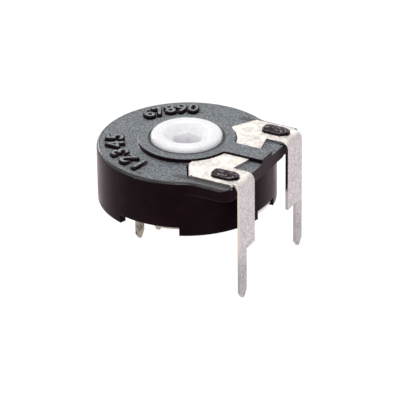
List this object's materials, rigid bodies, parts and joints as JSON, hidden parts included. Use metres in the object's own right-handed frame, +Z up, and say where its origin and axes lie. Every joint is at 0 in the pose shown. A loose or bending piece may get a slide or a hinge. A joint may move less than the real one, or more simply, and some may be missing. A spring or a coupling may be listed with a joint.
{
  "type": "trimmer potentiometer",
  "caption": "Round trimmer potentiometer for flat board mounting: black drum with square lip, white rotor with hexagon socket, folded tinned end terminals and a wiper pin.",
  "frame": {"origin": "on the rotor's axis, at the board's upper face, level with the end terminals' shoulders", "axes": "+Z up along the rotor's axis, +X towards the side where the end terminals fold down, +Y along their row"},
  "size_m": [0.0154, 0.015, 0.0111],
  "materials": {
    "housing_plastic": "satin black",
    "rotor_plastic": "glossy white",
    "tinned_sheet": "satin tin plate",
    "spring_bronze": "bright spring bronze",
    "laminate": "matt brown laminate",
    "carbon": "matt black film"
  },
  "bodies": {
    "case": {"housing": "housing_plastic", "end_terminal_left": "tinned_sheet", "end_terminal_right": "tinned_sheet", "resistive_base": "laminate", "carbon_track": "carbon", "collector": "tinned_sheet"},
    "adjuster": {"rotor": "rotor_plastic", "wiper": "spring_bronze"}
  },
  "joints": [
    {"name": "adjuster_turn", "type": "hinge", "parent": "case", "child": "adjuster", "pos_m": [0, 0, 0.006], "axis": [0, 0, 1], "range_deg": [-132.5, 132.5]}
  ]
}
